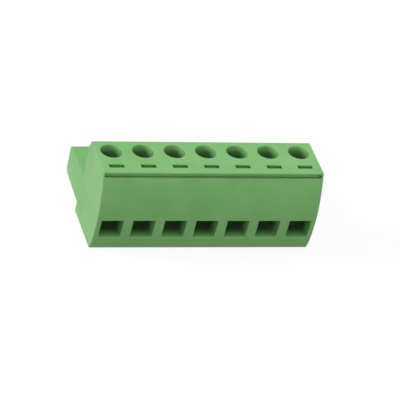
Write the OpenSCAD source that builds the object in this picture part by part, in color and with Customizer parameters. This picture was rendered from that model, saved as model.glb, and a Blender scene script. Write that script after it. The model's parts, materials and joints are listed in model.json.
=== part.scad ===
// Pluggable terminal block: the screw-clamp plug half, with rising clamps.
// Millimetres, +Z up. X runs along the row of ways, wires enter from -Y and
// the nose points to +Y. The origin is the middle of the footprint, on the
// surface that the plug stands on.

/* [Ways] */
// Number of ways
ways = 7; // [2:1:12]
// Distance from one way to the next
pitch = 5.08; // [5:0.01:7.62]

/* [Housing] */
// Depth over all, from the bulge of the wire face to the tip of the nose
depth = 18.75; // [17.5:0.05:24]
// Height over all
height = 14.15; // [13.6:0.05:18]
// Depth of the screw block, from the bulge of the wire face to its rear wall
block_depth = 10.4; // [10.2:0.05:13]
// Radius of the bulging wire face
face_radius = 19.75; // [15:0.25:40]
// Height at which the wire face bulges most
face_mid = 6.5; // [5:0.1:9]
// Set-back of the top edge behind the bulge of the wire face
top_setback = 1.4; // [1:0.05:2]
// Height of the lip above the shadow groove
lip_height = 0.25; // [0.2:0.05:0.6]
// Height of the shadow groove under the lip
groove_height = 0.6; // [0.3:0.05:0.8]
// Depth of the shadow groove behind the lip
groove_depth = 0.4; // [0.2:0.05:0.8]
// Wall left at each end of the shadow groove
groove_inset = 0.3; // [0.2:0.05:1]
// Run of the bevel along the foot of the wire face
foot_bevel_run = 0.55; // [0.2:0.05:1]
// Rise of the bevel along the foot of the wire face
foot_bevel_rise = 1.2; // [0.5:0.05:1.6]
// Run of the bevel along the rear top edge of the screw block
rear_bevel_run = 0.7; // [0.2:0.05:0.9]
// Rise of the bevel along the rear top edge of the screw block
rear_bevel_rise = 1.45; // [0.4:0.05:2]
// Size of the small bevel on the top edge and on the foot's rear edge
edge_bevel = 0.12; // [0.05:0.01:0.2]

/* [Nose] */
// Height of the nose's underside at its root
nose_root = 1.7; // [1.2:0.05:2]
// Rise of the nose's underside from root to tip
nose_rise = 0.4; // [0:0.05:0.8]
// Height of the nose's top face
nose_top = 6.95; // [6.7:0.05:8]
// Overlap of the screw block's foot behind the block's rear wall
foot_overhang = 0.5; // [0:0.05:1]
// Lead-in bevel round the tip of the nose, along the nose
tip_bevel_run = 0.85; // [0.3:0.05:1.2]
// Lead-in bevel round the tip of the nose, across its underside
tip_bevel_rise = 0.6; // [0.2:0.05:0.8]
// Bevel on the upper edge of the tip
tip_top_bevel = 0.3; // [0.1:0.05:0.5]
// Lead-in at the mouth of each contact chamber
chamber_lead = 0.25; // [0.1:0.05:0.4]

/* [Wire openings] */
// Width of an opening at the wire face
mouth_width = 3.55; // [3:0.05:4]
// Height of an opening at the wire face
mouth_height = 3.45; // [2.8:0.05:3.7]
// Height of the middle of an opening
mouth_mid = 4.33; // [4.2:0.01:4.5]
// Width of the wire tunnel behind the opening
tunnel_width = 2.95; // [2.4:0.05:3]
// Height of the wire tunnel behind the opening
tunnel_height = 2.6; // [2.2:0.05:2.7]
// Depth at which the opening has narrowed to the tunnel
funnel_depth = 2.2; // [1.5:0.05:3]

/* [Top face] */
// Distance of the screws behind the bulge of the wire face
screw_back = 7.1; // [6.9:0.05:7.8]
// Diameter of a screw well
well_diameter = 3.4; // [3.3:0.05:3.8]
// Bevel round the rim of a screw well
well_bevel = 0.15; // [0.05:0.05:0.3]
// Distance of the test slots behind the top edge
slot_back = 1.85; // [1.6:0.05:2.6]
// Width of a test slot
slot_width = 2.5; // [1.5:0.05:3.5]
// Breadth of a test slot, front to back
slot_breadth = 0.9; // [0.5:0.05:1]
// Depth of a test slot
slot_depth = 0.6; // [0.4:0.1:1.6]

/* [Screws] */
// Diameter of the screw thread
thread_diameter = 2.8; // [2.5:0.05:3]
// Height of a screw head
head_height = 1.3; // [1:0.05:1.6]
// Width of the driver slot
driver_slot = 0.6; // [0.5:0.05:0.8]
// Depth of the driver slot
driver_slot_depth = 0.7; // [0.5:0.05:0.9]
// Bevel round the head and the tip
screw_bevel = 0.2; // [0.1:0.05:0.3]

/* [Clamps] */
// Lift of a clamp from fully open to fully closed
clamp_travel = 2.5; // [1.5:0.1:2.5]
// Length of a clamp along the wire
clamp_length = 4.4; // [3.6:0.05:4.6]
// Thickness of a clamp's side walls
clamp_wall = 0.45; // [0.4:0.05:0.6]
// Thickness of a clamp's floor
clamp_floor = 0.8; // [0.6:0.05:1]
// Thickness of the threaded top of a clamp
clamp_top = 1.5; // [1:0.05:1.6]

/* [Contacts] */
// Thickness of the current bar
bar_thick = 0.5; // [0.4:0.05:0.6]
// Width of the current bar
bar_width = 2.6; // [2.2:0.05:3.2]
// Thickness of the sprung arms
arm_thick = 0.35; // [0.25:0.05:0.5]
// Gap between the arms where they grip a pin
grip_gap = 0.9; // [0.6:0.05:1]
// Height of the sprung arms below the current bar
arm_height = 2.1; // [1.5:0.05:2.3]
// Start of the sprung arms behind the rear wall of the screw block
arm_start = 0.8; // [0.6:0.1:1.5]
// How far each arm flares out behind the grip, to lead the pin in
arm_flare = 0.4; // [0.2:0.05:0.45]
// Length of the flared ends of the arms
flare_length = 1.1; // [0.8:0.1:1.5]
// Distance of the arms' ends inside the tip of the nose
contact_inset = 1.0; // [0.5:0.1:1.5]
// Height of the tab that stops the wire, below the current bar
stop_height = 1.7; // [1:0.05:2]
// Distance of the wire stop behind the clamp's pocket
stop_gap = 0.3; // [0.1:0.05:0.5]

/* [Clearances] */
// Play between a clamp and the walls of its pocket
clamp_play = 0.1; // [0.05:0.05:0.2]
// Play between a screw head and its well, all round
head_play = 0.07; // [0.02:0.01:0.1]
// Play between a screw and the clamp's threaded hole, all round
thread_play = 0.05; // [0.01:0.01:0.1]
// Gap above the current bar to the open clamp's threaded top
bar_play = 0.1; // [0.05:0.05:0.15]
// Gap above the current bar to the tip of the screw
tip_play = 0.05; // [0.02:0.01:0.1]
// Gap between the current bar and a clamp's side walls, and to the pocket's front
side_play = 0.12; // [0.05:0.01:0.2]
// Step from the wire tunnel down to the open clamp's floor and up to the bar
tunnel_step = 0.02; // [0:0.01:0.05]
// Room above a closed clamp in its pocket
lift_play = 0.15; // [0.1:0.05:0.3]
// Gap between a screw head and the pocket below it
head_gap = 0.05; // [0.02:0.01:0.1]
// Play between a contact's arms and the walls of its chamber
chamber_play = 0.2; // [0.1:0.05:0.35]

/* [Hidden] */

// Roundness of the turned and drilled parts
turned = 64;
// Steps in the arc of the wire face
face_steps = 14;
// How far a cut runs past the face that it opens
past = 1;

length = ways * pitch;
front = -depth / 2;

// Heights along a way, from the table up
tunnel_low = mouth_mid - tunnel_height / 2;
tunnel_high = mouth_mid + tunnel_height / 2;
bar_low = tunnel_high + tunnel_step;
bar_high = bar_low + bar_thick;
clamp_floor_high = tunnel_low - tunnel_step;
clamp_low = clamp_floor_high - clamp_floor;
clamp_top_low = bar_high + bar_play;
clamp_high = clamp_top_low + clamp_top;
pocket_high = clamp_high + clamp_travel + lift_play;
head_low = pocket_high + head_gap;
head_high = head_low + head_height;
tip_low = bar_high + tip_play;
arm_low = bar_low - arm_height;
chamber_floor = arm_low - chamber_play;
groove_high = height - lip_height;
groove_low = groove_high - groove_height;

// Places along a way, measured back from the bulge of the wire face
pocket_front = screw_back - clamp_length / 2 - clamp_play;
pocket_back = screw_back + clamp_length / 2 + clamp_play;
bar_front = pocket_front + side_play;
contact_end = depth - contact_inset;
arm_root = block_depth + arm_start;
grip_back = contact_end - flare_length;
stop_front = pocket_back + stop_gap;
foot_back = block_depth + foot_overhang;

// Widths across a way
window_width = bar_width + 2 * side_play;
clamp_width = window_width + 2 * clamp_wall;
pocket_width = clamp_width + 2 * clamp_play;
chamber_width = bar_width + 2 * chamber_play;
head_radius = well_diameter / 2 - head_play;
thread_radius = thread_diameter / 2;
arm_spread = bar_width / 2;
grip_half = grip_gap / 2;
tip_spread = grip_half + arm_flare;

green = [0.42, 0.67, 0.38];
steel = [0.72, 0.73, 0.74];
zinc = [0.62, 0.62, 0.60];
tin = [0.80, 0.79, 0.74];

// Set-back of the arc of the wire face at height z
function face_back(z) =
    face_radius - sqrt(pow(face_radius, 2) - pow(z - face_mid, 2));

// Points up the arc of the wire face, from the foot bevel to the groove
function face_points() = [
    for (i = [0:face_steps])
        let (z = foot_bevel_rise + (groove_low - foot_bevel_rise) * i / face_steps)
            [face_back(z), z]
];

// X of the middle of way k
function way_x(k) = (k - 0.5) * pitch - length / 2;

// Puts its children at every way, with y = 0 at the bulge of the wire face
module at_way(k) {
    translate([way_x(k), front, 0])
        children();
}

// A box centred on x = 0, given its corners along y and z
module centred_box(width, low_y, high_y, low_z, high_z) {
    translate([-width / 2, low_y, low_z])
        cube([width, high_y - low_y, high_z - low_z]);
}

// Extrudes an outline drawn in y and z along x, centred on x = 0
module along_row(run) {
    rotate([90, 0, 90])
        linear_extrude(height = run, center = true)
            children();
}

// Side view of the housing, y back from the bulge and z up
module side_outline() {
    foot_front = face_back(foot_bevel_rise) + foot_bevel_run;
    polygon(concat(
        [[foot_front, 0]],
        face_points(),
        [
            [top_setback, groove_high],
            [top_setback, height - edge_bevel],
            [top_setback + edge_bevel, height],
            [block_depth - rear_bevel_run, height],
            [block_depth, height - rear_bevel_rise],
            [block_depth, nose_top],
            [depth - tip_top_bevel, nose_top],
            [depth, nose_top - tip_top_bevel],
            [depth, nose_root + nose_rise + tip_bevel_rise],
            [depth - tip_bevel_run, nose_root + nose_rise],
            [foot_back, nose_root],
            [foot_back, edge_bevel],
            [foot_back - edge_bevel, 0]
        ]
    ));
}

// The shadow groove under the lip, along the whole row but for its two ends
module groove_cut() {
    centred_box(
        length - 2 * groove_inset,
        -past,
        top_setback + groove_depth,
        groove_low,
        groove_high
    );
}

// The screw's well: a round bore with a bevelled rim
module well_cut() {
    translate([0, screw_back, pocket_high - past]) {
        cylinder(h = height - pocket_high + 2 * past, d = well_diameter, $fn = turned);
        translate([0, 0, height - pocket_high + past - well_bevel])
            cylinder(
                h = well_bevel + past,
                r1 = well_diameter / 2,
                r2 = well_diameter / 2 + well_bevel + past,
                $fn = turned
            );
    }
}

// The test slot in front of the well
module slot_cut() {
    middle = top_setback + slot_back;
    centred_box(
        slot_width,
        middle - slot_breadth / 2,
        middle + slot_breadth / 2,
        height - slot_depth,
        height + past
    );
}

// Height or width of the funnel's cut at its mouth, carried out to y = -past
function flared(mouth, tunnel) = mouth + (mouth - tunnel) * past / funnel_depth;

// One side of the funnel: a trapezium that narrows from mouth to tunnel
module funnel_outline(mouth, tunnel) {
    outer = flared(mouth, tunnel) / 2;
    inner = tunnel / 2;
    polygon([
        [-past, -outer],
        [funnel_depth, -inner],
        [pocket_front + past, -inner],
        [pocket_front + past, inner],
        [funnel_depth, inner],
        [-past, outer]
    ]);
}

// The wire opening: a funnel in both directions and the tunnel behind it
module wire_cut() {
    translate([0, 0, mouth_mid])
        intersection() {
            along_row(pitch)
                funnel_outline(mouth_height, tunnel_height);
            linear_extrude(height = 2 * mouth_height, center = true)
                rotate([0, 0, 90])
                    mirror([0, 1])
                        funnel_outline(mouth_width, tunnel_width);
        }
}

// The pocket that guides the clamp, open at the foot to take it in
module pocket_cut() {
    centred_box(pocket_width, pocket_front, pocket_back, -past, pocket_high);
}

// The chamber for the contact, open at the tip of the nose
module chamber_cut() {
    centred_box(
        chamber_width,
        pocket_back - past,
        depth + past,
        chamber_floor,
        bar_high
    );
}

// The lead-in at the mouth of the chamber, on its two sides
module chamber_lead_cut() {
    half = chamber_width / 2;
    translate([0, 0, chamber_floor])
        linear_extrude(height = bar_high - chamber_floor)
            polygon([
                [-half, depth - chamber_lead],
                [half, depth - chamber_lead],
                [half + chamber_lead + past, depth + past],
                [-half - chamber_lead - past, depth + past]
            ]);
}

// The moulded housing, one piece
module housing() {
    color(green)
        difference() {
            translate([0, front, 0])
                along_row(length)
                    side_outline();
            translate([0, front, 0])
                groove_cut();
            for (k = [1:ways])
                at_way(k) {
                    well_cut();
                    slot_cut();
                    wire_cut();
                    pocket_cut();
                    chamber_cut();
                    chamber_lead_cut();
                }
        }
}

// Outline of half the screw, turned about its axis
module screw_outline() {
    polygon([
        [0, tip_low],
        [thread_radius - screw_bevel, tip_low],
        [thread_radius, tip_low + screw_bevel],
        [thread_radius, head_low],
        [head_radius, head_low],
        [head_radius, head_high - screw_bevel],
        [head_radius - screw_bevel, head_high],
        [0, head_high]
    ]);
}

// A slotted clamp screw
module screw() {
    color(steel)
        difference() {
            rotate_extrude($fn = turned)
                screw_outline();
            centred_box(
                driver_slot,
                -head_radius - past,
                head_radius + past,
                head_high - driver_slot_depth,
                head_high + past
            );
        }
}

// A rising clamp: a box with a window for bar and wire, and a threaded top
module clamp() {
    half = clamp_length / 2;
    color(zinc)
        difference() {
            centred_box(clamp_width, -half, half, clamp_low, clamp_high);
            centred_box(
                window_width,
                -half - past,
                half + past,
                clamp_floor_high,
                clamp_top_low
            );
            translate([0, 0, clamp_top_low - past])
                cylinder(
                    h = clamp_top + 2 * past,
                    r = thread_radius + thread_play,
                    $fn = turned
                );
        }
}

// Plan of one sprung arm: it leans in to grip the pin, then flares out
module arm_outline() {
    polygon([
        [arm_spread, arm_root],
        [grip_half + arm_thick, grip_back],
        [tip_spread + arm_thick, contact_end],
        [tip_spread, contact_end],
        [grip_half, grip_back],
        [arm_spread - arm_thick, arm_root]
    ]);
}

// A stamped contact: the current bar, and the wire stop and the two arms bent
// down from it
module contact() {
    color(tin)
        union() {
            centred_box(bar_width, bar_front, contact_end, bar_low, bar_high);
            centred_box(
                bar_width,
                stop_front,
                stop_front + arm_thick,
                bar_low - stop_height,
                bar_low
            );
            for (side = [0, 1])
                mirror([side, 0])
                    translate([0, 0, arm_low])
                        linear_extrude(height = arm_height)
                            arm_outline();
        }
}

housing();
for (k = [1:ways]) {
    at_way(k) translate([0, screw_back, 0]) screw();
    at_way(k) translate([0, screw_back, 0]) clamp();
    at_way(k) contact();
}
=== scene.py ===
"""The looks of a pluggable terminal block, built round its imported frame.

Sizes are in millimetres in the part's own frame: X runs along the row of ways,
wires enter from -Y, the nose points to +Y, and Z is up from the foot. They turn
into metres only when a finished piece leaves the bench.
"""

import json
import logging
import math
from dataclasses import dataclass
from enum import Enum
from itertools import pairwise

import bmesh
import bpy
from mathutils import Matrix, Vector


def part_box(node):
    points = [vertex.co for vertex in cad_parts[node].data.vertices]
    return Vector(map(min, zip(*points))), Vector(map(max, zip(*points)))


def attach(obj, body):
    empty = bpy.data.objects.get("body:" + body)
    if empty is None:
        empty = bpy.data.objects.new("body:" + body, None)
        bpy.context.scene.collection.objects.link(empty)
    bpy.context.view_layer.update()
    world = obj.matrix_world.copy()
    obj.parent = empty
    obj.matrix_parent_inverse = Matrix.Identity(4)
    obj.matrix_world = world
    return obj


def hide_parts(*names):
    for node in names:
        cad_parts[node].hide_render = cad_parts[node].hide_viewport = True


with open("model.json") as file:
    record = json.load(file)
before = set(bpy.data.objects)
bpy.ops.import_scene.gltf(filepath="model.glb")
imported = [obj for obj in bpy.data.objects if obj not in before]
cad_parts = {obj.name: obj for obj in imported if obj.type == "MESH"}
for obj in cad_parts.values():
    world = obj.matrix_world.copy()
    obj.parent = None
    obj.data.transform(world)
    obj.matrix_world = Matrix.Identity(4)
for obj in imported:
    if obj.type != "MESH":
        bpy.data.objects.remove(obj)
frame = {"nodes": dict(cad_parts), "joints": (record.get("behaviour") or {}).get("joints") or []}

MM = 0.001
PAST = 1.0  # how far a tool reaches past what it cuts
WELD = 0.0002  # points closer than this are one point
SPINDLE_SEGMENTS = 48  # steps round a threaded rod or bore
NOISE_SPAN = (0.3, 0.7)  # between which a noise mostly stays
WHITE = (1.0, 1.0, 1.0)

Point = tuple[float, float]
Colour = tuple[float, float, float]
Span = tuple[float, float]
Solid = bmesh.types.BMesh
Socket = bpy.types.NodeSocket
Material = bpy.types.Material
Object = bpy.types.Object

log = logging.getLogger("terminal_block")


class Axis(Enum):
    """The direction that an outline is drawn out along, as the place of each coordinate."""

    X = (2, 0, 1)
    Y = (0, 2, 1)
    Z = (0, 1, 2)

    def place(self, across: float, up: float, along: float) -> Vector:
        """The point of the frame for a place in the outline and one along the axis."""
        drawn = (across, up, along)
        return Vector(drawn[i] for i in self.value)


class Cut(Enum):
    """How a tool works on a blank."""

    REMOVE = "DIFFERENCE"
    FUSE = "UNION"


# --- outlines


@dataclass(frozen=True)
class Corner:
    """A corner of an outline and the radius that rounds it."""

    across: float
    up: float
    radius: float = 0.0

    def point(self) -> Vector:
        """The corner's own place."""
        return Vector((self.across, self.up))


def arc_between(start: Vector, end: Vector, centre: Vector, steps: int) -> list[Point]:
    """Points along the shorter arc from start to end.

    Args:
        start: First point of the arc.
        end: Last point of the arc.
        centre: Centre of the arc.
        steps: Number of straight steps in it.

    Returns:
        The points, both ends among them.
    """
    first = start - centre
    turn = first.angle_signed(end - centre)
    points = []
    for i in range(steps + 1):
        spoke = first.copy()
        spoke.rotate(Matrix.Rotation(-turn * i / steps, 2))
        points.append(tuple(centre + spoke))
    return points


def rounded(corners: list[Corner], steps: int = 4) -> list[Point]:
    """A closed outline whose corners are turned into arcs.

    Args:
        corners: The corners in order.
        steps: Number of straight steps in each arc.

    Returns:
        The points of the outline in the same order.
    """
    points: list[Point] = []
    for i, corner in enumerate(corners):
        here = corner.point()
        if corner.radius == 0:
            points.append(tuple(here))
            continue
        before = (corners[i - 1].point() - here).normalized()
        after = (corners[(i + 1) % len(corners)].point() - here).normalized()
        half = before.angle(after) / 2
        reach = corner.radius / math.tan(half)
        centre = here + (before + after).normalized() * (corner.radius / math.sin(half))
        points += arc_between(here + before * reach, here + after * reach, centre, steps)
    return points


def rectangle(low: Point, high: Point, radius: float = 0.0) -> list[Point]:
    """A rectangle's outline.

    Args:
        low: Its lowest corner.
        high: Its highest corner.
        radius: Radius of its four corners.

    Returns:
        The points of the outline.
    """
    corners = [
        Corner(low[0], low[1], radius),
        Corner(high[0], low[1], radius),
        Corner(high[0], high[1], radius),
        Corner(low[0], high[1], radius),
    ]
    return rounded(corners)


# --- solids


def closed_stack(rings: list[list[Vector]]) -> Solid:
    """A closed solid through rings of equally many points.

    Args:
        rings: The rings in order, each a closed loop.

    Returns:
        The solid, with a cap on its first and last ring.
    """
    solid = bmesh.new()
    loops = [[solid.verts.new(point) for point in ring] for ring in rings]
    for low, high in pairwise(loops):
        for i in range(len(low)):
            j = (i + 1) % len(low)
            solid.faces.new((low[i], low[j], high[j], high[i]))
    solid.faces.new(loops[0])
    solid.faces.new(loops[-1])
    bmesh.ops.recalc_face_normals(solid, faces=solid.faces)
    return solid


def drawn_out(outline: list[Point], axis: Axis, low: float, high: float) -> Solid:
    """A prism: an outline drawn out along an axis from one place on it to another."""
    return closed_stack([[axis.place(u, v, at) for u, v in outline] for at in (low, high)])


def turned(outline: list[Point], segments: int = 64) -> Solid:
    """A turned solid.

    Args:
        outline: Radius and height of each point, from the axis at the bottom to the axis
            at the top.
        segments: Number of steps round the axis.

    Returns:
        The closed solid round the Z axis.
    """
    solid = bmesh.new()
    foot = solid.verts.new((0, 0, outline[0][1]))
    top = solid.verts.new((0, 0, outline[-1][1]))
    rings = []
    for radius, height in outline[1:-1]:
        spokes = (2 * math.pi * i / segments for i in range(segments))
        places = [(radius * math.cos(a), radius * math.sin(a), height) for a in spokes]
        rings.append([solid.verts.new(place) for place in places])
    for i in range(segments):
        j = (i + 1) % segments
        solid.faces.new((foot, rings[0][j], rings[0][i]))
        solid.faces.new((top, rings[-1][i], rings[-1][j]))
        for low, high in pairwise(rings):
            solid.faces.new((low[i], low[j], high[j], high[i]))
    bmesh.ops.recalc_face_normals(solid, faces=solid.faces)
    return solid


def repeated(solid: Solid, places: list[Vector]) -> Solid:
    """One mesh with a copy of a solid at each place.

    Args:
        solid: The solid to repeat.
        places: Where each copy goes.

    Returns:
        The mesh of all the copies.
    """
    master = bpy.data.meshes.new("master")
    solid.to_mesh(master)
    row = bmesh.new()
    for place in places:
        first = len(row.verts)
        row.from_mesh(master)
        row.verts.ensure_lookup_table()
        bmesh.ops.translate(row, verts=row.verts[first:], vec=place)
    bpy.data.meshes.remove(master)
    return row


@dataclass(frozen=True)
class Thread:
    """A right-hand thread whose phase is fixed to the height z = 0.

    The same phase in a screw and in its nut keeps their flanks apart wherever the screw
    has turned and the nut has risen.
    """

    crest: float
    root: float
    pitch: float = 0.5
    flank_angle: float = 30.0
    flat_share: float = 1 / 16
    flank_growth: float = 0.0
    least_height: float = 0.1
    bury: float = 0.06
    steps_per_turn: int = 40

    def ridge(self, low: float, high: float, run_out: float) -> Solid:
        """The thread's helical ridge.

        Args:
            low: Height at which the ridge starts.
            high: Height at which it ends.
            run_out: Turns over which each end fades into the root.

        Returns:
            The closed ridge, buried a little in the core.
        """
        flank = math.tan(math.radians(self.flank_angle))
        inner = self.root - self.bury
        steps = round((high - low) / self.pitch * self.steps_per_turn)
        rings = []
        for i in range(steps + 1):
            height = low + (high - low) * i / steps
            turn = 2 * math.pi * height / self.pitch
            ends = min(height - low, high - height) / self.pitch
            share = min(1.0, ends / run_out) if run_out else 1.0
            crest = inner + (self.crest - inner) * max(share, self.least_height)
            crest_half = self.pitch * self.flat_share + self.flank_growth
            root_half = crest_half + flank * (self.crest - inner)
            section = [
                (inner, -root_half),
                (crest, -crest_half),
                (crest, crest_half),
                (inner, root_half),
            ]
            rings.append(
                [
                    Vector((r * math.cos(turn), r * math.sin(turn), height + rise))
                    for r, rise in section
                ]
            )
        return closed_stack(rings)


class Blank:
    """A closed solid on the bench, in millimetres, that tools cut, fuse and round."""

    def __init__(self, solid: Solid) -> None:
        """Takes the solid that the piece is made from."""
        self.solid = solid

    def work(self, tool: Solid, cut: Cut = Cut.REMOVE) -> "Blank":
        """Cuts a tool's shape out of the blank, or fuses it on.

        Args:
            tool: The tool's closed shape.
            cut: What is done with it.

        Returns:
            The blank itself.
        """
        bodies = []
        for part in (self.solid, tool):
            mesh = bpy.data.meshes.new("bench")
            part.to_mesh(mesh)
            part.free()
            bodies.append(bpy.data.objects.new("bench", mesh))
            bpy.context.scene.collection.objects.link(bodies[-1])
        modifier = bodies[0].modifiers.new("tool", "BOOLEAN")
        modifier.operation = cut.value
        modifier.solver = "EXACT"
        modifier.object = bodies[1]
        graph = bpy.context.evaluated_depsgraph_get()
        worked = bpy.data.meshes.new_from_object(bodies[0].evaluated_get(graph))
        self.solid = bmesh.new()
        self.solid.from_mesh(worked)
        bpy.data.meshes.remove(worked)
        for body in bodies:
            mesh = body.data
            bpy.data.objects.remove(body)
            bpy.data.meshes.remove(mesh)
        self.clean()
        return self

    def clean(self) -> None:
        """Welds doubled points and takes out edges of no length."""
        bmesh.ops.remove_doubles(self.solid, verts=self.solid.verts, dist=WELD)
        bmesh.ops.dissolve_degenerate(self.solid, dist=WELD, edges=self.solid.edges)

    def round_edges(self, radius: float, steps: int = 2, over: float = 28.0) -> "Blank":
        """Rounds every edge that turns by more than an angle, inner corners too.

        Args:
            radius: How far each rounding reaches from its edge.
            steps: Number of strips in each rounding.
            over: Angle in degrees between the two faces above which an edge is rounded.

        Returns:
            The blank itself.
        """
        limit = math.radians(over)
        sharp = [e for e in self.solid.edges if e.is_manifold and e.calc_face_angle() > limit]
        bmesh.ops.bevel(
            self.solid,
            geom=sharp,
            offset=radius,
            offset_type="OFFSET",
            segments=steps,
            profile=0.5,
            affect="EDGES",
            clamp_overlap=False,
            loop_slide=True,
        )
        self.clean()
        return self

    def copy_at(self, place: Vector) -> "Blank":
        """A second blank of the same shape.

        Args:
            place: How far the copy is moved.

        Returns:
            The copy.
        """
        twin = self.solid.copy()
        bmesh.ops.translate(twin, verts=twin.verts, vec=place)
        return Blank(twin)

    def is_closed(self) -> bool:
        """Says whether every edge has two faces."""
        return all(edge.is_manifold for edge in self.solid.edges)


# --- finishes


class Wiring:
    """Adds and links the nodes of one material or world."""

    def __init__(self, tree: bpy.types.NodeTree) -> None:
        """Empties the node tree that it is to fill."""
        tree.nodes.clear()
        self.tree = tree

    def node(
        self, kind: str, inputs: dict[str | int, object] | None = None, **settings: object
    ) -> bpy.types.Node:
        """Adds a node.

        Args:
            kind: The node's type name.
            inputs: What goes into its inputs: a socket is linked, a value is set.
            **settings: Properties of the node.

        Returns:
            The new node.
        """
        made = self.tree.nodes.new(kind)
        for name, value in settings.items():
            setattr(made, name, value)
        for place, value in (inputs or {}).items():
            if isinstance(value, Socket):
                self.tree.links.new(value, made.inputs[place])
            else:
                made.inputs[place].default_value = value
        return made

    def noise(self, across: Socket, size: float, detail: float) -> Socket:
        """A noise read at coordinates in metres, with spots of a size in millimetres."""
        inputs = {"Vector": across, "Scale": 1 / (size * MM), "Detail": detail}
        return self.node("ShaderNodeTexNoise", inputs).outputs["Fac"]

    def mapped(
        self, source: Socket, given: Span, wanted: Span = (0.0, 1.0), kind: str = "LINEAR"
    ) -> Socket:
        """Maps a range of a value onto another range.

        Args:
            source: The value.
            given: The range that it is taken from.
            wanted: The range that it is mapped onto.
            kind: How it runs between the ends.

        Returns:
            The socket that gives the mapped value.
        """
        names = ("From Min", "From Max", "To Min", "To Max")
        inputs = dict(zip(names, (*given, *wanted)))
        made = self.node("ShaderNodeMapRange", {"Value": source} | inputs, interpolation_type=kind)
        return made.outputs["Result"]

    def tones(self, source: Socket, stops: list[Colour]) -> Socket:
        """Turns a noise into a few close colours.

        Args:
            source: The noise.
            stops: The colours, from its darkest to its lightest.

        Returns:
            The socket that gives the colour.
        """
        made = self.node("ShaderNodeValToRGB", {"Fac": source})
        ramp = made.color_ramp
        low, high = NOISE_SPAN
        places = [low + (high - low) * i / (len(stops) - 1) for i in range(len(stops))]
        ramp.elements[0].position = places[0]
        ramp.elements[1].position = places[-1]
        for place in places[1:-1]:
            ramp.elements.new(place)
        for element, colour in zip(ramp.elements, stops):
            element.color = (*colour, 1.0)
        return made.outputs["Color"]

    def painted_shade_mask(self, reach: float, span: Span) -> Socket:
        """Tells how open a place lies, from 0 deep in a hollow to 1 on a plain face, as the mask
        of painted shade.

        Args:
            reach: How far away a wall still closes a place in, in millimetres.
            span: The shares of free directions that count as closed and as open.

        Returns:
            The socket that gives how open the place lies, which masks the painted shade.
        """
        made = self.node(
            "ShaderNodeAmbientOcclusion", {"Distance": reach * MM}, samples=8, only_local=True
        )
        return self.mapped(made.outputs["AO"], span, kind="SMOOTHSTEP")

    def blend(self, share: Socket, low: Colour, high: Socket) -> Socket:
        """Blends a plain colour into a worked-out one.

        Args:
            share: How much of the worked-out colour shows.
            low: The plain colour, where the share is 0.
            high: The colour where the share is 1.

        Returns:
            The socket that gives the colour.
        """
        made = self.node("ShaderNodeMix", {"Factor": share}, data_type="RGBA")
        colours = [i for i in made.inputs if i.type == "RGBA"]
        colours[0].default_value = (*low, 1.0)
        self.tree.links.new(high, colours[1])
        return next(o for o in made.outputs if o.type == "RGBA")

    def bump(self, height: Socket, depth: float, under: Socket | None = None) -> Socket:
        """Adds relief.

        Args:
            height: The height of the relief, from 0 to 1.
            depth: Its depth in millimetres.
            under: The relief that it lies on.

        Returns:
            The socket that gives the normal.
        """
        inputs = {"Strength": 1.0, "Distance": depth * MM, "Height": height}
        if under is not None:
            inputs["Normal"] = under
        return self.node("ShaderNodeBump", inputs).outputs["Normal"]

    def seen_or(self, seen: Socket, other: Socket) -> Socket:
        """Shows one shader to the eye, a mirror or clear glass, and another to the rest.

        Args:
            seen: The shader that is seen.
            other: The shader that lights the object.

        Returns:
            The socket that gives the shader.
        """
        path = self.node("ShaderNodeLightPath").outputs
        share = path["Is Camera Ray"]
        for kind in ("Is Glossy Ray", "Is Transmission Ray"):
            either = self.node("ShaderNodeMath", {0: share, 1: path[kind]}, operation="MAXIMUM")
            share = either.outputs["Value"]
        choice = self.node("ShaderNodeMixShader", {"Fac": share, 1: other, 2: seen})
        return choice.outputs["Shader"]


def new_material(name: str) -> tuple[Material, Wiring]:
    """Starts a node material.

    Args:
        name: The material's name.

    Returns:
        The material and the wiring of its empty tree.
    """
    made = bpy.data.materials.new(name)
    made.use_nodes = True
    return made, Wiring(made.node_tree)


def shade(colour: Colour, share: float, towards: Colour = (0.0, 0.0, 0.0)) -> Colour:
    """A colour moved a share of the way towards another, black if none is given."""
    return tuple(a + (b - a) * share for a, b in zip(colour, towards))


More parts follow.
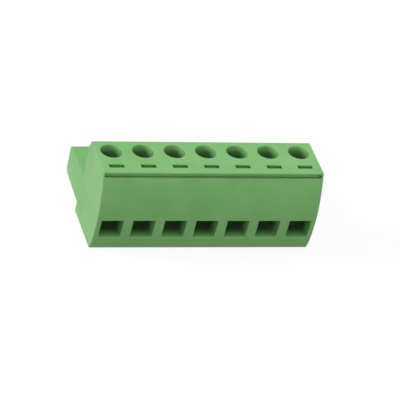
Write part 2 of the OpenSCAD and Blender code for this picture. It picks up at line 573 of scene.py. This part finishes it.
@dataclass(frozen=True)
class MouldedPlastic:
    """Satin engineering plastic with the fine grain of a spark-eroded mould, and painted shade
    that darkens its recesses.
    """

    name: str
    colour: Colour
    roughness: tuple[float, float] = (0.4, 0.52)
    specular: float = 0.35
    dark_share: float = 0.07
    pale: Colour = (0.55, 0.62, 0.4)
    pale_share: float = 0.09
    cloud_size: float = 4.0
    cloud_detail: float = 3.0
    grain_size: float = 0.09
    grain_detail: float = 2.0
    grain_depth: float = 0.0022
    wave_size: float = 2.6
    wave_detail: float = 1.0
    wave_depth: float = 0.004
    # painted shade: reach, span and darkness of the colour darkened in recesses by ambient
    # occlusion
    painted_shade_reach: float = 4.0
    painted_shade_range: tuple[float, float] = (0.15, 0.48)
    painted_shade_depth: float = 0.96

    def material(self) -> Material:
        """Builds the material.

        Returns:
            The material, with colour clouds, uneven gloss, flow waves, mould grain and painted
            shade in its recesses.
        """
        made, wiring = new_material(self.name)
        places = wiring.node("ShaderNodeTexCoord").outputs["Object"]
        clouds = wiring.noise(places, self.cloud_size, self.cloud_detail)
        stops = [
            shade(self.colour, self.dark_share),
            self.colour,
            shade(self.colour, self.pale_share, self.pale),
        ]
        tones = wiring.tones(clouds, stops)
        # painted shade: the colour runs towards near black wherever ambient occlusion finds a
        # recess
        painted_recess_shade = shade(self.colour, self.painted_shade_depth)
        painted_shade_open_share = wiring.painted_shade_mask(self.painted_shade_reach, self.painted_shade_range)
        grain = wiring.noise(places, self.grain_size, self.grain_detail)
        waves = wiring.noise(places, self.wave_size, self.wave_detail)
        flow = wiring.bump(waves, self.wave_depth)
        shader = wiring.node(
            "ShaderNodeBsdfPrincipled",
            {
                "Specular IOR Level": self.specular,
                "Base Color": wiring.blend(painted_shade_open_share, painted_recess_shade, tones),
                "Roughness": wiring.mapped(grain, NOISE_SPAN, self.roughness),
                "Normal": wiring.bump(grain, self.grain_depth, flow),
            },
        )
        wiring.node("ShaderNodeOutputMaterial", {"Surface": shader.outputs["BSDF"]})
        return made


@dataclass(frozen=True)
class PlatedMetal:
    """Plated metal with fine drawn scratches and soft patches in its plating."""

    name: str
    colour: Colour
    tarnish: Colour
    roughness: tuple[float, float]
    grain_stretch: tuple[float, float, float] = (1.0, 12.0, 1.0)
    bright_share: float = 0.25
    patch_size: float = 1.1
    detail: float = 3.0
    scratch_size: float = 0.05
    scratch_depth: float = 0.0012

    def material(self) -> Material:
        """Builds the material.

        Returns:
            The material, with patches, scratches along one direction and uneven gloss.
        """
        made, wiring = new_material(self.name)
        places = wiring.node("ShaderNodeTexCoord").outputs["Object"]
        patches = wiring.noise(places, self.patch_size, self.detail)
        stops = [self.tarnish, self.colour, shade(self.colour, self.bright_share, WHITE)]
        stretch = [1 / s for s in self.grain_stretch]
        drawn = wiring.node("ShaderNodeMapping", {"Vector": places, "Scale": stretch})
        scratches = wiring.noise(drawn.outputs["Vector"], self.scratch_size, self.detail)
        shader = wiring.node(
            "ShaderNodeBsdfPrincipled",
            {
                "Metallic": 1.0,
                "Base Color": wiring.tones(patches, stops),
                "Roughness": wiring.mapped(scratches, NOISE_SPAN, self.roughness),
                "Normal": wiring.bump(scratches, self.scratch_depth),
            },
        )
        wiring.node("ShaderNodeOutputMaterial", {"Surface": shader.outputs["BSDF"]})
        return made


@dataclass(frozen=True)
class Dressing:
    """What a finished piece is called, looks like, rides on and stands for."""

    name: str
    material: Material
    slot: str
    body: str
    node: str
    sharp_over: float = 50.0
    flat_weight: int = 80

    def put_on(self, blank: Blank) -> Object:
        """Turns a blank into the shown piece.

        Args:
            blank: The finished shape, in millimetres.

        Returns:
            The piece, in metres, riding on its body.
        """
        if not blank.is_closed():
            log.warning("%s has open edges", self.name)
        mesh = bpy.data.meshes.new(self.name)
        solid = blank.solid
        bmesh.ops.scale(solid, verts=solid.verts, vec=Vector((MM, MM, MM)))
        bmesh.ops.recalc_face_normals(solid, faces=solid.faces)
        solid.to_mesh(mesh)
        solid.free()
        mesh.materials.append(self.material)
        mesh.polygons.foreach_set("use_smooth", [True] * len(mesh.polygons))
        mesh.set_sharp_from_angle(angle=math.radians(self.sharp_over))
        piece = bpy.data.objects.new(self.name, mesh)
        bpy.context.scene.collection.objects.link(piece)
        even = piece.modifiers.new("even_normals", "WEIGHTED_NORMAL")
        even.mode = "FACE_AREA"
        even.weight = self.flat_weight
        even.keep_sharp = True
        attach(piece, self.body)
        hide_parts(self.node)
        log.info("%s: %d faces", self.name, len(mesh.polygons))
        return piece


# --- places from the frame


@dataclass(frozen=True)
class Box:
    """The space that one node of the frame takes, in millimetres."""

    low: Vector
    high: Vector

    @classmethod
    def of(cls, node: str) -> "Box":
        """Reads a node's box from the frame."""
        low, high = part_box(node)
        return cls(low / MM, high / MM)

    def size(self) -> Vector:
        """Its length along each axis."""
        return self.high - self.low

    def middle(self) -> Vector:
        """Its centre."""
        return (self.low + self.high) / 2


@dataclass(frozen=True)
class Row:
    """The ways of the plug and the spaces of the pieces in its first way."""

    housing: Box
    screw: Box
    clamp: Box
    contact: Box
    ways: list[Vector]
    lift: float

    @classmethod
    def of_frame(cls) -> "Row":
        """Reads the row from the frame's nodes and joints.

        Returns:
            The row.
        """
        count = sum(name.startswith("screw_") for name in frame["nodes"])
        first = Box.of("screw_1").middle()
        middles = [Box.of(f"screw_{k}").middle() for k in range(1, count + 1)]
        ways = [Vector((middle.x - first.x, 0, 0)) for middle in middles]
        lift = next(j for j in frame["joints"] if j["name"] == "clamp_1_lift")
        return cls(
            housing=Box.of("housing"),
            screw=Box.of("screw_1"),
            clamp=Box.of("clamp_1"),
            contact=Box.of("contact_1"),
            ways=ways,
            lift=lift["range_m"][1] / MM,
        )

    def back(self, depth: float) -> float:
        """The Y of a place that lies behind the bulge of the wire face."""
        return self.housing.low.y + depth


@dataclass(frozen=True)
class Series:
    """A piece that is the same at every way, with the start of each of its names."""

    name: str
    slot: str
    node: str
    body: str = ""

    def build(self, row: Row, master: Blank, place: Vector, finish: Material) -> list[Object]:
        """Makes the piece for every way.

        Args:
            row: The row of ways.
            master: The piece that is copied.
            place: Where the first way's copy goes.
            finish: The pieces' material.

        Returns:
            The shown pieces, each on its own body if the series names none.
        """
        pieces = []
        for k, way in enumerate(row.ways, start=1):
            node = f"{self.node}_{k}"
            dressing = Dressing(f"{self.name}_{k}", finish, self.slot, self.body or node, node)
            pieces.append(dressing.put_on(master.copy_at(place + way)))
        return pieces


# --- the pieces


@dataclass
class Housing:
    """The moulded housing, in one piece, with everything that is cut into it."""

    row: Row
    finish: Material
    face_radius: float = 19.75
    face_mid: float = 6.5
    block_depth: float = 10.4
    top_setback: float = 1.4
    lip_height: float = 0.25
    groove_height: float = 0.6
    groove_depth: float = 0.4
    groove_inset: float = 0.3
    foot_bevel_run: float = 0.55
    foot_bevel_rise: float = 1.2
    rear_bevel_run: float = 0.7
    rear_bevel_rise: float = 1.45
    nose_root: float = 1.7
    nose_rise: float = 0.4
    nose_top: float = 6.95
    foot_overhang: float = 0.5
    tip_bevel_run: float = 0.85
    tip_bevel_rise: float = 0.6
    tip_top_bevel: float = 0.3
    mouth_width: float = 3.55
    mouth_height: float = 3.45
    mouth_mid: float = 4.33
    tunnel_width: float = 2.95
    tunnel_height: float = 2.6
    funnel_depth: float = 2.2
    well_diameter: float = 3.4
    slot_back: float = 1.85
    slot_width: float = 2.5
    slot_breadth: float = 0.9
    slot_depth: float = 0.6
    clamp_play: float = 0.1
    lift_play: float = 0.15
    chamber_play: float = 0.2
    chamber_lead: float = 0.25
    edge_radius: float = 0.11
    edge_steps: int = 3
    steps_per_mouth: int = 6

    def face_back(self, height: float) -> float:
        """Set-back of the arc of the wire face at a height."""
        rise = height - self.face_mid
        return self.face_radius - math.sqrt(self.face_radius**2 - rise**2)

    def face_levels(self, low: float, high: float) -> list[float]:
        """Heights of the points up the arc, spaced so that a mouth's edges fall between two.

        Args:
            low: Height at which the arc starts.
            high: Height at which it ends.

        Returns:
            The heights, both ends among them.
        """
        step = self.mouth_height / self.steps_per_mouth
        first = math.ceil((low - self.mouth_mid) / step)
        last = math.floor((high - self.mouth_mid) / step)
        between = [self.mouth_mid + (i + 0.5) * step for i in range(first, last)]
        inner = [z for z in between if low + step / 2 < z < high - step / 2]
        return [low, *inner, high]

    def groove_levels(self) -> tuple[float, float]:
        """Heights of the floor and the ceiling of the shadow groove."""
        ceiling = self.row.housing.high.z - self.lip_height
        return ceiling - self.groove_height, ceiling

    def side_outline(self) -> list[Point]:
        """The housing seen from its end.

        Returns:
            The closed outline as Y and Z.
        """
        height = self.row.housing.high.z
        depth = self.row.housing.size().y
        groove_low, groove_high = self.groove_levels()
        foot_front = self.face_back(self.foot_bevel_rise) + self.foot_bevel_run
        foot_back = self.block_depth + self.foot_overhang
        levels = self.face_levels(self.foot_bevel_rise, groove_low)
        nose_low = self.nose_root + self.nose_rise
        outline = [
            (foot_front, 0.0),
            *((self.face_back(z), z) for z in levels),
            (self.top_setback, groove_high),
            (self.top_setback, height),
            (self.block_depth - self.rear_bevel_run, height),
            (self.block_depth, height - self.rear_bevel_rise),
            (self.block_depth, self.nose_top),
            (depth - self.tip_top_bevel, self.nose_top),
            (depth, self.nose_top - self.tip_top_bevel),
            (depth, nose_low + self.tip_bevel_rise),
            (depth - self.tip_bevel_run, nose_low),
            (foot_back, self.nose_root),
            (foot_back, 0.0),
        ]
        return [(self.row.back(y), z) for y, z in outline]

    def way_x(self) -> float:
        """X of the middle of the first way."""
        return self.row.screw.middle().x

    def box_cut(self, width: float, low: Point, high: Point) -> Solid:
        """A box cut at every way.

        Args:
            width: The cut's width along the row.
            low: Its lowest corner, as Y and Z.
            high: Its highest corner, as Y and Z.

        Returns:
            The tool, one box for each way.
        """
        middle = self.way_x()
        box = drawn_out(rectangle(low, high), Axis.X, middle - width / 2, middle + width / 2)
        return repeated(box, self.row.ways)

    def groove(self) -> Solid:
        """The shadow groove under the lip, which stops short of both ends.

        Returns:
            The tool.
        """
        box = self.row.housing
        floor, ceiling = self.groove_levels()
        back = self.row.back(self.top_setback + self.groove_depth)
        outline = rectangle((box.low.y - PAST, floor), (back, ceiling))
        low, high = box.low.x + self.groove_inset, box.high.x - self.groove_inset
        return drawn_out(outline, Axis.X, low, high)

    def wells(self) -> Solid:
        """The round wells that let a screwdriver down to the screws.

        Returns:
            The tool, one cut for each way.
        """
        place = self.row.screw.middle()
        radius = self.well_diameter / 2
        floor = self.pocket_high() - PAST
        top = self.row.housing.high.z + PAST
        well = turned([(0, floor), (radius, floor), (radius, top), (0, top)])
        bmesh.ops.translate(well, verts=well.verts, vec=(place.x, place.y, 0))
        return repeated(well, self.row.ways)

    def slots(self) -> Solid:
        """The test slots between the wells and the top edge.

        Returns:
            The tool, one cut for each way.
        """
        middle = self.row.back(self.top_setback + self.slot_back)
        half = self.slot_breadth / 2
        top = self.row.housing.high.z
        return self.box_cut(
            self.slot_width,
            (middle - half, top - self.slot_depth),
            (middle + half, top + PAST),
        )

    def mouths(self) -> Solid:
        """The wire openings: a funnel in both directions and the tunnel behind it.

        Returns:
            The tool, one cut for each way.
        """
        grown = 1 + PAST / self.funnel_depth
        stations = [
            (-PAST, grown),
            (self.funnel_depth, 0.0),
            (self.row.clamp.low.y - self.row.housing.low.y + PAST, 0.0),
        ]
        tunnel = Vector((self.tunnel_width, self.tunnel_height)) / 2
        mouth = Vector((self.mouth_width, self.mouth_height)) / 2
        middle = Vector((self.way_x(), self.mouth_mid))
        rings = []
        for back, share in stations:
            half = tunnel.lerp(mouth, share)
            outline = rectangle(tuple(middle - half), tuple(middle + half))
            rings.append([Vector((x, self.row.back(back), z)) for x, z in outline])
        return repeated(closed_stack(rings), self.row.ways)

    def pocket_high(self) -> float:
        """Height of the ceiling of a clamp's pocket."""
        return self.row.clamp.high.z + self.row.lift + self.lift_play

    def pockets(self) -> Solid:
        """The pockets that guide the clamps, open at the foot.

        Returns:
            The tool, one cut for each way.
        """
        clamp = self.row.clamp
        return self.box_cut(
            clamp.size().x + 2 * self.clamp_play,
            (clamp.low.y - self.clamp_play, -PAST),
            (clamp.high.y + self.clamp_play, self.pocket_high()),
        )

    def chambers(self) -> Solid:
        """The chambers for the contacts, each with a lead-in at the tip of the nose.

        Returns:
            The tool, one cut for each way.
        """
        contact = self.row.contact
        tip = self.row.housing.high.y
        middle = self.way_x()
        half = contact.size().x / 2 + self.chamber_play
        wide = half + self.chamber_lead + PAST
        start = self.row.clamp.high.y + self.clamp_play - PAST
        plan = [
            (middle - half, start),
            (middle + half, start),
            (middle + half, tip - self.chamber_lead),
            (middle + wide, tip + PAST),
            (middle - wide, tip + PAST),
            (middle - half, tip - self.chamber_lead),
        ]
        floor = contact.low.z - self.chamber_play
        return repeated(drawn_out(plan, Axis.Z, floor, contact.high.z), self.row.ways)

    def build(self) -> Object:
        """Makes the housing.

        Returns:
            The shown piece.
        """
        box = self.row.housing
        blank = Blank(drawn_out(self.side_outline(), Axis.X, box.low.x, box.high.x))
        tools = (
            self.groove,
            self.wells,
            self.slots,
            self.mouths,
            self.pockets,
            self.chambers,
        )
        for tool in tools:
            blank.work(tool())
        blank.round_edges(self.edge_radius, self.edge_steps)
        dressing = Dressing("housing_shell", self.finish, "housing_plastic", "housing", "housing")
        return dressing.put_on(blank)


@dataclass
class ClampScrew:
    """A slotted cheese-head screw with a real thread."""

    row: Row
    finish: Material
    head_height: float = 1.3
    head_round: float = 0.22
    slot_width: float = 0.6
    slot_depth: float = 0.7
    neck_radius: float = 1.18
    neck_height: float = 0.4
    tip_radius: float = 0.8
    tip_height: float = 0.3
    thread: Thread = Thread(crest=1.39, root=1.15)
    run_out: float = 0.5
    head_steps: int = 5

    def core_outline(self) -> list[Point]:
        """The outline of the turned body.

        Returns:
            Radius and height of each point.
        """
        low = self.row.screw.low.z
        high = self.row.screw.high.z
        head = self.row.screw.size().x / 2
        under = high - self.head_height
        root = self.thread.root
        inner, shoulder = head - self.head_round, high - self.head_round
        arc = arc_between(
            Vector((head, shoulder)),
            Vector((inner, high)),
            Vector((inner, shoulder)),
            self.head_steps,
        )
        return [
            (0, low),
            (self.tip_radius, low),
            (root, low + self.tip_height),
            (root, under - self.neck_height),
            (self.neck_radius, under - self.neck_height),
            (self.neck_radius, under),
            (head, under),
            *arc,
            (0, high),
        ]

    def master(self) -> Blank:
        """Makes one screw about the Z axis.

        Returns:
            The screw at X and Y zero.
        """
        low = self.row.screw.low.z
        high = self.row.screw.high.z
        neck = high - self.head_height - self.neck_height
        blank = Blank(turned(self.core_outline(), SPINDLE_SEGMENTS))
        ridge = self.thread.ridge(low + self.tip_height / 2, neck, self.run_out)
        blank.work(ridge, Cut.FUSE)
        reach = self.row.screw.size().x
        half = self.slot_width / 2
        outline = rectangle((-half, high - self.slot_depth), (half, high + PAST))
        blank.work(drawn_out(outline, Axis.Y, -reach, reach))
        return blank

    def build(self) -> list[Object]:
        """Makes a screw for every way.

        Returns:
            The shown pieces.
        """
        middle = self.row.screw.middle()
        place = Vector((middle.x, middle.y, 0))
        series = Series("clamp_screw", "screw_steel", "screw")
        return series.build(self.row, self.master(), place, self.finish)


@dataclass
class RisingClamp:
    """A rising clamp: a drawn section with a window, a threaded top and a ribbed floor."""

    row: Row
    finish: Material
    wall: float = 0.45
    floor: float = 0.8
    top: float = 1.5
    outer_radius: float = 0.4
    inner_radius: float = 0.25
    ribs: int = 5
    rib_pitch: float = 0.62
    rib_depth: float = 0.16
    thread: Thread = Thread(crest=1.45, root=1.21, flank_growth=0.03)
    edge_radius: float = 0.05

    def section(self, low: Point, high: Point, radius: float) -> Solid:
        """A rounded bar along the wire, longer than the clamp.

        Args:
            low: Its lowest corner, as X and Z.
            high: Its highest corner.
            radius: Radius of its corners.

        Returns:
            The tool.
        """
        length = self.row.clamp.size().y
        outline = rectangle(low, high, radius)
        return drawn_out(outline, Axis.Y, -length / 2 - PAST, length / 2 + PAST)

    def rib_cuts(self) -> Solid:
        """The notches across the clamp's floor, which grip the wire.

        Returns:
            The tool.
        """
        reach = self.row.clamp.size().x / 2 - self.wall - self.inner_radius
        floor = self.row.clamp.low.z + self.floor
        half = self.rib_pitch / 2
        outline = [
            (-half, floor + self.rib_depth),
            (0, floor - self.rib_depth),
            (half, floor + self.rib_depth),
        ]
        middle = (self.ribs - 1) / 2
        places = [Vector((0, (i - middle) * self.rib_pitch, 0)) for i in range(self.ribs)]
        return repeated(drawn_out(outline, Axis.X, -reach, reach), places)

    def tap(self) -> Solid:
        """The tap that cuts the thread into the clamp's top.

        Returns:
            The tool.
        """
        low = self.row.clamp.high.z - self.top - PAST / 2
        high = self.row.clamp.high.z + PAST / 2
        root = self.thread.root
        core = turned([(0, low), (root, low), (root, high), (0, high)], SPINDLE_SEGMENTS)
        ridge = self.thread.ridge(low + self.thread.pitch / 2, high - self.thread.pitch / 2, 0)
        return Blank(core).work(ridge, Cut.FUSE).solid

    def master(self) -> Blank:
        """Makes one clamp about the Z axis.

        Returns:
            The clamp at X and Y zero.
        """
        size = self.row.clamp.size()
        low, high = self.row.clamp.low.z, self.row.clamp.high.z
        outline = rectangle((-size.x / 2, low), (size.x / 2, high), self.outer_radius)
        blank = Blank(drawn_out(outline, Axis.Y, -size.y / 2, size.y / 2))
        window = (
            (-size.x / 2 + self.wall, low + self.floor),
            (size.x / 2 - self.wall, high - self.top),
        )
        blank.work(self.section(*window, self.inner_radius))
        blank.work(self.rib_cuts())
        blank.round_edges(self.edge_radius)
        blank.work(self.tap())
        return blank

    def build(self) -> list[Object]:
        """Makes a clamp for every way.

        Returns:
            The shown pieces.
        """
        middle = self.row.clamp.middle()
        place = Vector((middle.x, middle.y, 0))
        series = Series("rising_clamp", "clamp_zinc", "clamp")
        return series.build(self.row, self.master(), place, self.finish)


@dataclass
class ForkContact:
    """A stamped contact: the current bar, the wire stop and two sprung arms."""

    row: Row
    finish: Material
    bar: float = 0.5
    arm: float = 0.35
    grip_gap: float = 0.9
    arm_root: float = 11.2
    root_length: float = 1.4
    arm_slit: float = 0.12
    arm_inset: float = 0.06
    ease_share: float = 0.35
    flare: float = 0.4
    flare_length: float = 1.1
    flare_power: float = 1.5
    stop_gap: float = 0.4
    stop_height: float = 1.7
    plate_round: float = 0.15
    root_round: float = 0.3
    crotch_round: float = 0.2
    crotch_taper: float = 0.1
    seat_gap: float = 0.01
    arm_steps: int = 14
    edge_radius: float = 0.05

    def inner_half(self, back: float) -> float:
        """Half the gap between the arms.

        Args:
            back: The depth behind the wire face at which it is asked for.

        Returns:
            The distance from the contact's middle plane to an arm.
        """
        end = self.row.contact.high.y - self.row.housing.low.y
        grip = end - self.flare_length
        tight = self.grip_gap / 2
        wide = self.row.contact.size().x / 2 - self.arm - self.arm_inset
        if back > grip:
            share = (back - grip) / self.flare_length
            return tight + self.flare * share**self.flare_power
        share = (back - self.arm_root) / (grip - self.arm_root)
        ease = (1 + math.cos(math.pi * share)) / 2
        linear = 1 - share
        width = self.ease_share * ease + (1 - self.ease_share) * linear
        return tight + (wide - tight) * width

    def arm_plan(self, side: int, start: float, end: float) -> list[Point]:
        """One arm seen from above.

        Args:
            side: 1 for the arm at +X, -1 for the arm at -X.
            start: Depth behind the wire face at which the plan starts.
            end: Depth at which it ends.

        Returns:
            The closed outline as X and Y.
        """
        depths = [start + (end - start) * i / self.arm_steps for i in range(self.arm_steps + 1)]
        inner = [(side * self.inner_half(d), self.row.back(d)) for d in depths]
        outer = [(side * (self.inner_half(d) + self.arm), self.row.back(d)) for d in depths]
        return inner + outer[::-1]

    def master(self) -> Blank:
        """Makes one contact with its middle at X zero.

        Returns:
            The contact, at its own Y and Z.
        """
        box = self.row.contact
        half = box.size().x / 2
        high = box.high.z - self.seat_gap
        low = box.high.z - self.bar
        root = self.row.back(self.arm_root)
        fork = root + self.root_length
        tongue = box.high.y - self.flare_length
        inner = half - self.arm
        tip = inner - self.crotch_taper
        outline = rounded(
            [
                Corner(-half, box.low.y, self.plate_round),
                Corner(half, box.low.y, self.plate_round),
                Corner(half, fork, self.root_round),
                Corner(inner, fork),
                Corner(tip, tongue, self.crotch_round),
                Corner(-tip, tongue, self.crotch_round),
                Corner(-inner, fork),
                Corner(-half, fork, self.root_round),
            ]
        )
        blank = Blank(drawn_out(outline, Axis.Z, low, high))
        stop = self.row.clamp.high.y + self.stop_gap
        lap = low + self.bar / 2
        tab = rectangle((-half, low - self.stop_height), (half, lap), self.plate_round)
        blank.work(drawn_out(tab, Axis.Y, stop, stop + self.arm), Cut.FUSE)
        end = box.high.y - self.row.housing.low.y
        for side in (-1, 1):
            root_plan = self.arm_plan(side, self.arm_root, self.arm_root + self.root_length)
            spring_plan = self.arm_plan(side, self.arm_root + self.root_length / 2, end)
            blank.work(drawn_out(root_plan, Axis.Z, box.low.z, lap), Cut.FUSE)
            blank.work(drawn_out(spring_plan, Axis.Z, box.low.z, low - self.arm_slit), Cut.FUSE)
        blank.round_edges(self.edge_radius)
        return blank

    def build(self) -> list[Object]:
        """Makes a contact for every way.

        Returns:
            The shown pieces.
        """
        place = Vector((self.row.contact.middle().x, 0, 0))
        series = Series("fork_contact", "contact_tin", "contact", "housing")
        return series.build(self.row, self.master(), place, self.finish)


# --- stage, lights and camera


@dataclass(frozen=True)
class SoftLight:
    """A distant soft light: where it stands, how much it gives and how wide it is."""

    name: str
    stands: tuple[float, float, float]
    level: float
    spread: float

    def hang(self) -> Object:
        """Hangs the light.

        Returns:
            The lamp, whose level of 1 shows a white surface that faces it as white.
        """
        light = bpy.data.lights.new(self.name, "SUN")
        light.energy = self.level * math.pi
        light.angle = math.radians(self.spread)
        lamp = bpy.data.objects.new(self.name, light)
        lamp.rotation_mode = "QUATERNION"
        lamp.rotation_quaternion = (-Vector(self.stands)).to_track_quat("-Z", "Y")
        lamp.location = Vector(self.stands)
        bpy.context.scene.collection.objects.link(lamp)
        return lamp


@dataclass(frozen=True)
class Studio:
    """A plain white sweep with a soft light on the left and a low one in front."""

    half_size: float = 3.0
    ambient: float = 0.6
    bounce: float = 0.08
    seen_bounce: float = 0.13
    seen_glow: float = 0.9
    left: SoftLight = SoftLight("left", (-1.0, 0.2, 0.6), 0.63, 20.0)
    ahead: SoftLight = SoftLight("ahead", (-0.1, -1.0, 0.27), 0.2, 20.0)

    def floor(self) -> Object:
        """Lays the floor.

        Returns:
            The floor, marked as stage.
        """
        made, wiring = new_material("sweep")
        greys = [(level, level, level, 1.0) for level in (self.bounce, self.seen_bounce)]
        lit, seen = (wiring.node("ShaderNodeBsdfDiffuse", {"Color": grey}) for grey in greys)
        glow = wiring.node("ShaderNodeEmission", {"Strength": self.seen_glow})
        both = wiring.node(
            "ShaderNodeAddShader", {0: seen.outputs["BSDF"], 1: glow.outputs["Emission"]}
        )
        surface = wiring.seen_or(both.outputs["Shader"], lit.outputs["BSDF"])
        wiring.node("ShaderNodeOutputMaterial", {"Surface": surface})
        half = self.half_size
        mesh = bpy.data.meshes.new("floor")
        corners = [(-half, -half, 0), (half, -half, 0), (half, half, 0), (-half, half, 0)]
        mesh.from_pydata(corners, [], [(0, 1, 2, 3)])
        mesh.materials.append(made)
        floor = bpy.data.objects.new("floor", mesh)
        bpy.context.scene.collection.objects.link(floor)
        return floor

    def world(self) -> None:
        """Sets the surroundings: even soft light, and white where they are seen."""
        world = bpy.data.worlds.new("studio")
        world.use_nodes = True
        wiring = Wiring(world.node_tree)
        skies = []
        for strength in (1.0, self.ambient):
            inputs = {"Color": (*WHITE, 1.0), "Strength": strength}
            skies.append(wiring.node("ShaderNodeBackground", inputs).outputs["Background"])
        wiring.node("ShaderNodeOutputWorld", {"Surface": wiring.seen_or(*skies)})
        bpy.context.scene.world = world

    def build(self) -> None:
        """Sets up floor, world and lights."""
        self.floor()
        self.world()
        for light in (self.left, self.ahead):
            light.hang()


@dataclass(frozen=True)
class Viewpoint:
    """A long lens from the front left, above the plug, held a little off level."""

    azimuth: float = -22.13
    elevation: float = 34.13
    roll: float = 13.03
    distance: float = 501.77
    look_at: tuple[float, float, float] = (0.93, -2.04, 4.72)
    lens: float = 289.0
    sensor: float = 36.0
    clip: tuple[float, float] = (0.01, 20.0)

    def build(self) -> Object:
        """Sets up the camera.

        Returns:
            The scene's camera.
        """
        side, up = math.radians(self.azimuth), math.radians(self.elevation)
        back = Vector(
            (math.sin(side) * math.cos(up), -math.cos(side) * math.cos(up), math.sin(up))
        )
        camera = bpy.data.cameras.new("camera")
        camera.lens = self.lens
        camera.sensor_width = self.sensor
        camera.clip_start, camera.clip_end = self.clip
        seat = bpy.data.objects.new("camera", camera)
        level = (-back).to_track_quat("-Z", "Y").to_matrix()
        held = level @ Matrix.Rotation(math.radians(self.roll), 3, "Z")
        place = (Vector(self.look_at) + back * self.distance) * MM
        seat.matrix_world = Matrix.Translation(place) @ held.to_4x4()
        bpy.context.scene.collection.objects.link(seat)
        bpy.context.scene.camera = seat
        return seat


def main() -> None:
    """Builds the plug, the stage and the camera, and reports each piece."""
    logging.basicConfig(level=logging.INFO, format="%(name)s: %(message)s")
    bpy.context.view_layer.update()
    bpy.context.scene.view_settings.view_transform = "Standard"
    Viewpoint().build()
    Studio().build()
    row = Row.of_frame()
    green = MouldedPlastic("green_plastic", (0.20, 0.49, 0.155)).material()
    steel = PlatedMetal(
        "zinc_plated_steel",
        colour=(0.62, 0.63, 0.65),
        tarnish=(0.5, 0.5, 0.5),
        roughness=(0.22, 0.38),
    ).material()
    nickel = PlatedMetal(
        "nickel_plated_brass",
        colour=(0.6, 0.58, 0.54),
        tarnish=(0.45, 0.43, 0.39),
        roughness=(0.28, 0.45),
    ).material()
    tin = PlatedMetal(
        "tinned_copper",
        colour=(0.72, 0.71, 0.68),
        tarnish=(0.58, 0.56, 0.52),
        roughness=(0.3, 0.5),
    ).material()
    Housing(row, green).build()
    ClampScrew(row, steel).build()
    RisingClamp(row, nickel).build()
    ForkContact(row, tin).build()


if __name__ == "__main__":
    main()
